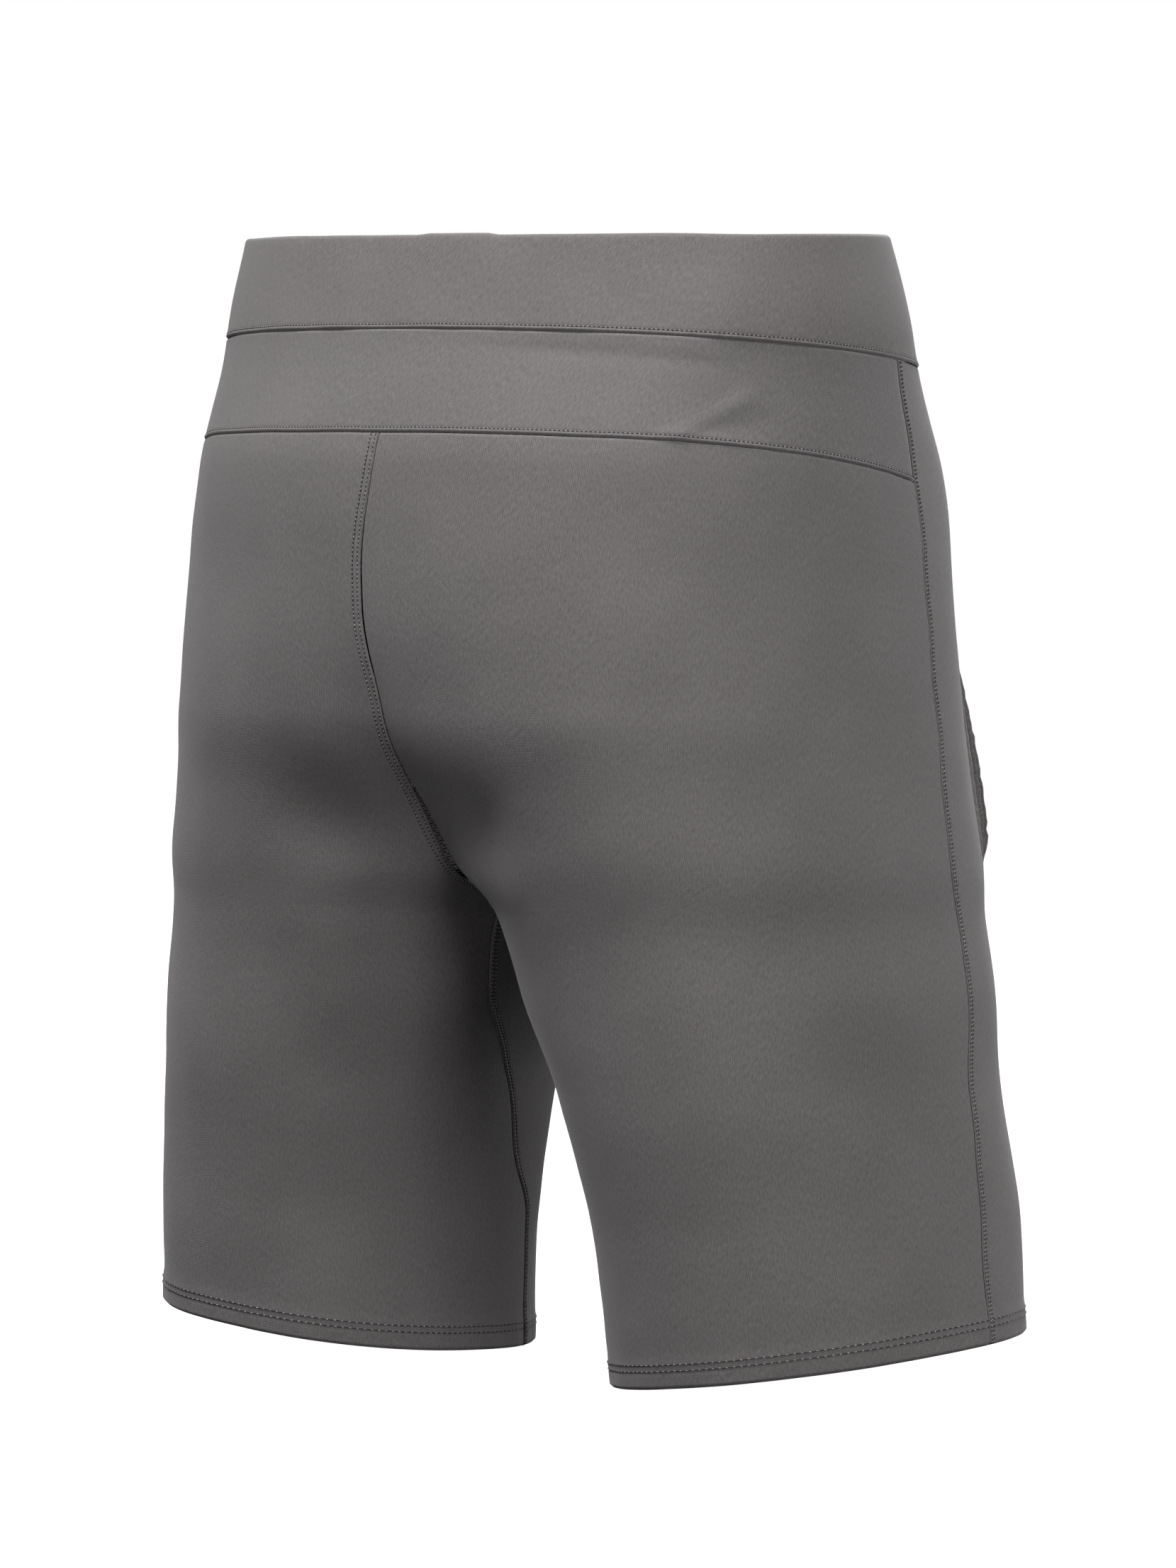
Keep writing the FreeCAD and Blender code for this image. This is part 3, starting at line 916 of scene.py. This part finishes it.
def hem_turn_up(side):
    """The cloth folded up inside the hem."""
    around = np.linspace(0, 2 * math.pi, 220, endpoint=False)
    rise = np.linspace(0.9, HEM_TURN_UP, 9)
    u, v = np.meshgrid(around, rise)
    level = v
    for _ in range(6):
        spot = body(side, level, u)
        level = hem_level(side, spot[..., 0], spot[..., 1]) + v
    panel = Panel(side, body(side, level, u, HEM_TURN_START), body_normal(side, level, u))
    panel.raise_by(ripple(panel.points, 71, (10, 26), 0.1))
    return panel


# ---------------------------------------------------------------- pads, sleeves, pockets, labels
def outer_point(side, y, level, inset):
    """Point on the outer side of one half, at a given y and level."""
    centre_x, outer, _, centre_y, back, front, skew = [
        eased(LEVELS, level, column) for column in range(1, 8)]
    dy = y + stride_shift(level, side) - centre_y
    along = np.clip(dy / (np.where(dy > 0, back, front) - inset), -0.999, 0.999)
    across = (1 - np.abs(along) ** SECTION_POWER) ** (1 / SECTION_POWER)
    x = centre_x + (outer - inset) * across - skew * dy
    return np.stack([SIGN[side] * x, y + 0 * x, level + 0 * x], -1)


def rear_point(x, level, inset):
    """Point on the back of the body, at a given x and level."""
    centre_x, outer, inner, centre_y, back, _, _ = [
        eased(LEVELS, level, column) for column in range(1, 8)]
    dx = np.abs(x) - centre_x
    across = np.clip(dx / (np.where(dx > 0, outer, inner) - inset), -0.999, 0.999)
    along = (1 - np.abs(across) ** SECTION_POWER) ** (1 / SECTION_POWER)
    y = centre_y + (back - inset) * along
    return np.stack([x + 0 * y, y, level + 0 * y], -1)


def outline_reach(plan, key, angle, grow):
    """Distance from the middle of a rounded rectangle to its edge, at an angle."""
    (a0, a1), (b0, b1) = plan[key], plan["z"]
    half_a, half_b = (a1 - a0) / 2 + grow, (b1 - b0) / 2 + grow
    corner = plan["corner"] + grow
    c, s = np.abs(np.cos(angle)), np.abs(np.sin(angle))
    reach = np.minimum(half_a / np.maximum(c, 1e-9), half_b / np.maximum(s, 1e-9))
    ca, cb = half_a - corner, half_b - corner
    dot = c * ca + s * cb
    inside = dot ** 2 - (ca ** 2 + cb ** 2 - corner ** 2)
    on_corner = dot + np.sqrt(np.maximum(inside, 0))
    at_corner = (on_corner * c > ca) & (on_corner * s > cb) & (inside > 0)
    return np.where(at_corner, on_corner, reach)


def lens(name, side, plan, key, profile, relief=None, spokes=96):
    """Closed flat piece inside the cloth. profile is a list of (share of the way out, inset)."""
    middle_a = sum(plan[key]) / 2
    middle_z = sum(plan["z"]) / 2
    angle = np.linspace(0, 2 * math.pi, spokes, endpoint=False)
    reach = outline_reach(plan, key, angle, plan.get("grow", 0.0))
    rows = []
    for share, inset in profile:
        a = middle_a + share * reach * np.cos(angle)
        level = middle_z + share * reach * np.sin(angle)
        depth = inset + (relief(a - middle_a, level - middle_z, share, inset) if relief else 0.0)
        if key == "y":
            rows.append(outer_point(side, a, level, depth))
        else:
            rows.append(rear_point(a, level, depth))
    points = np.array(rows)
    vertices = points.reshape(-1, 3)
    faces = grid_faces(len(profile), spokes, closed=True)
    first_pole = vertices[:spokes].mean(0)
    last_pole = vertices[-spokes:].mean(0)
    vertices = np.concatenate([vertices, [first_pole, last_pole]])
    base = (len(profile) - 1) * spokes
    for j in range(spokes):
        k = (j + 1) % spokes
        faces.append((len(vertices) - 2, k, j))
        faces.append((len(vertices) - 1, base + j, base + k))
    uv = vertices[:, [1 if key == "y" else 0, 2]] * MM
    obj = new_object(name, placed(vertices), faces, uv)
    select_only(obj)
    bpy.ops.object.mode_set(mode="EDIT")
    bpy.ops.mesh.select_all(action="SELECT")
    bpy.ops.mesh.normals_make_consistent(inside=False)
    bpy.ops.object.mode_set(mode="OBJECT")
    return obj


def pad_profile(start, thick):
    """Outside of a pad from the middle of its outer face over the edge to its inner face."""
    out = [(s, start) for s in np.linspace(0.04, 0.9, 16)]
    edge = [(0.94 + 0.06 * math.sin(a), start + thick / 2 - math.cos(a) * thick / 2)
            for a in np.linspace(0, math.pi, 9)]
    back = [(s, start + thick) for s in np.linspace(0.9, 0.04, 16)]
    return out + edge + back


def grooves(a, z, share, inset):
    """Slanting flex grooves moulded in the body side of a pad."""
    if inset < PAD_START + PAD_THICK * 0.8:
        return 0.0
    first = np.abs(((a * 0.87 + z * 0.5) / 15.0) % 1.0 - 0.5)
    second = np.abs(((-a * 0.87 + z * 0.5) / 15.0) % 1.0 - 0.5)
    near = np.minimum(first, second) * 15.0
    return -2.2 * np.exp(-(near / 1.4) ** 2) * smooth((0.92 - share) / 0.1)


def sleeve_profile(start, thick, swell):
    """A flat net bag: its outer wall lies on the cloth and its inner wall swells over the pad."""
    rows = [(s, start) for s in np.linspace(0.04, 1.0, 18)]
    for s in np.linspace(0.99, 0.04, 20):
        full = smooth((1.0 - s) / 0.12)
        rows.append((s, start + 0.9 + (thick + swell - 0.9) * full))
    return rows


def thin_sheet(name, plan, key, rows, columns, side="left"):
    """A flat piece with square corners inside the cloth."""
    grid_a, grid_z = np.meshgrid(np.linspace(*plan[key], columns), np.linspace(*plan["z"], rows))
    if key == "y":
        points = outer_point(side, grid_a, grid_z, plan["start"])
    else:
        points = rear_point(grid_a, grid_z, plan["start"])
    uv = np.stack([grid_a, grid_z], -1).reshape(-1, 2) * MM
    flip = (key == "y" and side == "right") or key == "x"
    faces = grid_faces(rows, columns, flip=flip)
    return give_thickness(new_object(name, placed(points.reshape(-1, 3)), faces, uv), plan["thick"])


# ---------------------------------------------------------------- stitching
def stitch_shape():
    """One short thread as unit rings: along, across and up."""
    rings = [(0.0, 0.15), (0.12, 0.75), (0.35, 1.0), (0.65, 1.0), (0.88, 0.75), (1.0, 0.15)]
    spots = []
    for along, size in rings:
        for k in range(5):
            a = 2 * math.pi * k / 5
            spots.append((along - 0.5, math.cos(a) * size, math.sin(a) * size))
    faces = grid_faces(len(rings), 5, closed=True)
    faces.append(tuple(range(4, -1, -1)))
    faces.append(tuple(range(5 * (len(rings) - 1), 5 * len(rings))))
    return np.array(spots), faces


STITCH_SPOTS, STITCH_FACES = stitch_shape()


def stitch_run(line, outs, pitch, long, wide, lift, offset):
    """Threads laid end to end along a line in millimetres."""
    run = np.concatenate([[0], np.cumsum(np.linalg.norm(np.diff(line, axis=0), axis=1))])
    places = np.arange(offset + pitch / 2, run[-1] - pitch / 2, pitch)
    spot = np.stack([np.interp(places, run, line[:, k]) for k in range(3)], -1)
    out = np.stack([np.interp(places, run, outs[:, k]) for k in range(3)], -1)
    ahead = np.stack([np.interp(places + 0.4, run, line[:, k]) for k in range(3)], -1)
    behind = np.stack([np.interp(places - 0.4, run, line[:, k]) for k in range(3)], -1)
    along = ahead - behind
    along /= np.linalg.norm(along, axis=1, keepdims=True)
    out = out - along * np.sum(out * along, axis=1, keepdims=True)
    out /= np.linalg.norm(out, axis=1, keepdims=True)
    across = np.cross(out, along)
    size = np.array([long, wide / 2, wide / 2])
    local = STITCH_SPOTS * size
    vertices = (spot[:, None, :] + out[:, None, :] * lift
                + along[:, None, :] * local[None, :, 0:1]
                + across[:, None, :] * local[None, :, 1:2]
                + out[:, None, :] * local[None, :, 2:3])
    return vertices.reshape(-1, 3), len(places)


def stitching(name, rows):
    """One piece with all the threads of a seam. Each row is (line, outs, pitch, long, wide,
    lift, offset, light)."""
    vertices, faces, marks = [], [], []
    start = 0
    for *run, light in rows:
        found, count = stitch_run(*run)
        for n in range(count):
            base = start + n * len(STITCH_SPOTS)
            faces += [tuple(base + k for k in face) for face in STITCH_FACES]
            marks += [0 if light else 1] * len(STITCH_FACES)
        vertices.append(found)
        start += len(found)
    obj = new_object(name, placed(np.concatenate(vertices)), faces)
    # light rows take the lit copy of the thread, the others the copy painted as shade
    obj.data.materials.append(lit_thread)
    obj.data.materials.append(shaded_thread)
    obj.data.polygons.foreach_set("material_index", marks)
    return obj


def lockstitch(line, outs, pitch=2.0):
    """Stretches of thread painted dark as shade where they are pressed into the cloth, with a small
    loop of the lit thread between each pair.
    """
    return [(line, outs, pitch, pitch * 0.72, 0.62, 0.0, 0.0, False),
            (line, outs, pitch, pitch * 0.42, 0.52, 0.1, pitch / 2, True)]


def coverstitch(line, outs, pitch=3.3):
    """Longer stretches painted dark as shade, with a short loop of the lit thread, a painted highlight,
    between each pair.
    """
    return [(line, outs, pitch, 2.5, 0.5, 0.05, 0.0, False),
            (line, outs, pitch, 0.9, 0.5, 0.14, pitch / 2, True)]


# ---------------------------------------------------------------- put the shorts together
made = {}


def cloth_piece(name, panel, thick, material, slot, *nodes, closed=False):
    """Cloth of a given thickness over one panel, standing for its CAD nodes."""
    obj = give_thickness(panel_object(name, panel, closed), thick)
    finish_piece(obj, material)
    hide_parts(*nodes)
    return obj, panel


def flat_piece(name, plan, key, rows, columns, material, node, side="left"):
    """A flat piece in its finish, standing for its CAD node."""
    obj = thin_sheet(name, plan, key, rows, columns, side)
    finish_piece(obj, material)
    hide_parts(node)
    return (obj,)


def pad_and_sleeve(name, side, plan, key):
    """A moulded foam pad and the net sleeve that holds it."""
    pad = lens(f"{name}_foam", side, plan, key, pad_profile(PAD_START, PAD_THICK), grooves)
    finish_piece(pad, pad_foam)
    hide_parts(f"{name}_pad")
    net_bag = lens(f"{name}_net_sleeve", side, dict(plan, grow=SLEEVE_GAP + SLEEVE_WALL), key,
                   sleeve_profile(PAD_START - 0.3, PAD_THICK + 0.3, 0.9))
    finish_piece(net_bag, sleeve_net)
    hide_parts(f"{name}_pad_sleeve")
    return pad, net_bag


for side in SIGN:
    made[f"back_{side}"] = cloth_piece(f"back_panel_{side}", back_panel(side), CLOTH_THICK,
                                       stretch_fabric, "stretch_fabric",
                                       f"seat_panel_{side}", f"back_leg_panel_{side}")

    inner, outer = front_panel(side)
    obj = join_front(f"front_panel_shell_{side}", side, inner, outer)
    trim_at_centre(obj, side)
    give_thickness(obj, CLOTH_THICK)
    finish_piece(obj, stretch_fabric)
    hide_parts(f"front_panel_{side}", f"front_leg_panel_{side}")
    made[f"front_{side}"] = (obj, inner, outer)

    made[f"hem_{side}"] = cloth_piece(f"hem_fold_{side}", hem_turn_up(side), HEM_TURN_THICK,
                                      stretch_fabric, "stretch_fabric",
                                      f"hem_turn_up_{side}", closed=True)
    for name, plan in (("hip", HIP_PAD), ("thigh", THIGH_PAD)):
        made[f"{name}_pad_{side}"] = pad_and_sleeve(f"{name}_{side}", side, plan, "y")
    made[f"pocket_{side}"] = flat_piece(f"pocket_net_bag_{side}", POCKET_BAG, "y", 40, 20,
                                        pocket_net, f"pocket_bag_{side}", side)

made["tailbone"] = pad_and_sleeve("tailbone", "left", TAILBONE_PAD, "x")
made["waistband"] = cloth_piece("waistband_shell", waistband(), CLOTH_THICK, waistband_fabric,
                                "waistband_fabric", "waistband_outer", closed=True)
made["facing"] = cloth_piece("waistband_inner_facing", facing(), FACING_THICK, facing_fabric,
                             "waistband_fabric", "waistband_facing", closed=True)
made["elastic"] = cloth_piece("waistband_ribbed_elastic", elastic(), ELASTIC_THICK, elastic_band,
                              "elastic", "waistband_elastic", closed=True)
made["yoke"] = cloth_piece("back_yoke_shell", yoke(), CLOTH_THICK, stretch_fabric,
                           "stretch_fabric", "back_yoke")
made["back_label"] = flat_piece("blank_back_label", BACK_LABEL, "x", 14, 20,
                                label_tape, "back_label")
made["care_label"] = flat_piece("blank_care_label", CARE_LABEL, "y", 20, 12,
                                label_tape, "care_label")

# ---------------------------------------------------------------- threads on the seams
for side in SIGN:
    _, inner, outer = made[f"front_{side}"]
    _, back = made[f"back_{side}"]
    rows = []
    for distance in SIDE_ROWS:
        rows += lockstitch(*outer.line("last_column", distance, THREAD_LIFT), pitch=1.8)
    made[f"side_threads_{side}"] = (stitching(f"side_seam_threads_{side}", rows),)

    rows = []
    on_leg = inner.levels[:, 0] < SEAM_TOP - 1.5
    for distance in INSEAM_ROWS:
        line, outs = inner.line("first_column", distance, THREAD_LIFT)
        rows += lockstitch(line[on_leg], outs[on_leg], pitch=1.9)
    made[f"inseam_threads_{side}"] = (stitching(f"inseam_threads_{side}", rows),)

    rows = []
    for distance in HEM_ROWS:
        for part in (back, inner, outer):
            rows += coverstitch(*part.line("first_row", distance, THREAD_LIFT))
    made[f"hem_threads_{side}"] = (stitching(f"hem_threads_{side}", rows),)

    rows = []
    levels = outer.levels[:, 0]
    beside = (levels > POCKET_LOW[1] - 2) & (levels < POCKET_HIGH[1] + 2)
    for part, edge in ((outer, "first_column"), (inner, "last_column")):
        line, outs = part.line(edge, POCKET_ROWS[0], THREAD_LIFT)
        rows += lockstitch(line[beside], outs[beside])
    made[f"pocket_threads_{side}"] = (stitching(f"pocket_threads_{side}", rows),)

rows = []
back = made["back_left"][1]
for distance in CENTRE_ROWS:
    line, outs = back.line("last_column", distance, THREAD_LIFT)
    keep = back.levels[:, -1] > SEAM_TOP + 1
    rows += lockstitch(line[keep], outs[keep], pitch=1.9)
made["centre_back_threads"] = (stitching("centre_back_threads", rows),)

rows = []
for name in ("waistband", "yoke"):
    rows += lockstitch(*made[name][1].line("first_row", BAND_ROWS[0], THREAD_LIFT))
made["band_threads"] = (stitching("waistband_and_yoke_threads", rows),)

# ---------------------------------------------------------------- what moves with what
for key, parts in made.items():
    for part in parts:
        if isinstance(part, Panel):
            continue
        if key.endswith(("_left", "_right")):
            bend_at_hip(part)
        elif key == "centre_back_threads":
            bend_at_hip(part)
        else:
            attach(part, "pelvis")

# ---------------------------------------------------------------- floor, light and camera
def area_light(name, place, target, size, power):
    """Square lamp that faces its target."""
    bpy.ops.object.light_add(type="AREA", location=place)
    lamp = bpy.context.object
    lamp.name = name
    lamp.data.shape = "SQUARE"
    lamp.data.size = size
    lamp.data.energy = power
    aim = Vector(target) - Vector(place)
    lamp.rotation_euler = aim.to_track_quat("-Z", "Y").to_euler()
    return lamp


bpy.ops.mesh.primitive_plane_add(size=60, location=(0, 0, 0))
floor = bpy.context.object
floor.name = "studio_floor"
paper = Finish("pale_floor")
patches = paper.noise(paper.in_space((3, 3, 3)), 2.0)
paper.tint(patches, (0.3, (0.30, 0.30, 0.30, 1)), (0.7, (0.32, 0.32, 0.32, 1)))
paper.set("Roughness", 0.9)
paper.set("Specular IOR Level", 0.0)
paper.set("Emission Color", (1.0, 1.0, 1.0, 1.0))
paper.set("Emission Strength", 1.0)
floor.data.materials.append(paper.material)
# the floor glows white, but throws no light back up the legs
floor.visible_diffuse = False
floor.visible_glossy = False

MIDDLE = (0.0, -0.0144, 0.26)
LAMP_DISTANCE = 3.5
LAMP_SIZE = 1.2
# name, degrees round from the front, degrees up, watts
LAMPS = [
    ("high_behind", 152, 62, 118.0),
    ("high_side", 225, 62, 48.0),
    ("low_behind", 196, 14, 9.0),
    ("low_side", 243, 14, 50.0),
    ("low_front", 340, 14, 32.0),
    ("high_front", 30, 40, 70.0),
]
for name, around, up, power in LAMPS:
    a, e = math.radians(around), math.radians(up)
    offset = Vector((math.sin(a) * math.cos(e), -math.cos(a) * math.cos(e), math.sin(e)))
    area_light(name, Vector(MIDDLE) + LAMP_DISTANCE * offset, MIDDLE, LAMP_SIZE, power)

world = bpy.data.worlds.new("studio")
bpy.context.scene.world = world
world.use_nodes = True
sky = Shading(world.node_tree)
heights = sky.nodes.new("ShaderNodeSeparateXYZ")
direction = sky.nodes.new("ShaderNodeTexCoord").outputs["Generated"]
sky.links.new(direction, heights.inputs["Vector"])
# a white wall all round, a dimmer ceiling above it and dark below
up = sky.maths("ADD", sky.maths("MULTIPLY", heights.outputs["Z"], 0.5), 0.5)
room = sky.ramp(up, [(0.455, (0.03, 0.03, 0.03, 1)), (0.475, (1, 1, 1, 1)),
                     (0.535, (1, 1, 1, 1)), (0.57, (0.12, 0.12, 0.12, 1))])
background = sky.nodes["Background"]
sky.links.new(room, background.inputs["Color"])
background.inputs["Strength"].default_value = 1.0

bpy.context.scene.view_settings.view_transform = "Standard"
bpy.context.scene.view_settings.look = "None"

CAMERA = (-2.6123, 3.0988, 0.4512)
TARGET = (0.0, -0.0144, 0.2522)
bpy.ops.object.camera_add(location=CAMERA)
camera = bpy.context.object
camera.name = "camera"
camera.rotation_euler = (Vector(TARGET) - Vector(CAMERA)).to_track_quat("-Z", "Y").to_euler()
camera.data.lens = 211.8
camera.data.sensor_width = 36
camera.data.shift_x = 0.0034
camera.data.shift_y = 0.0061
bpy.context.scene.camera = camera
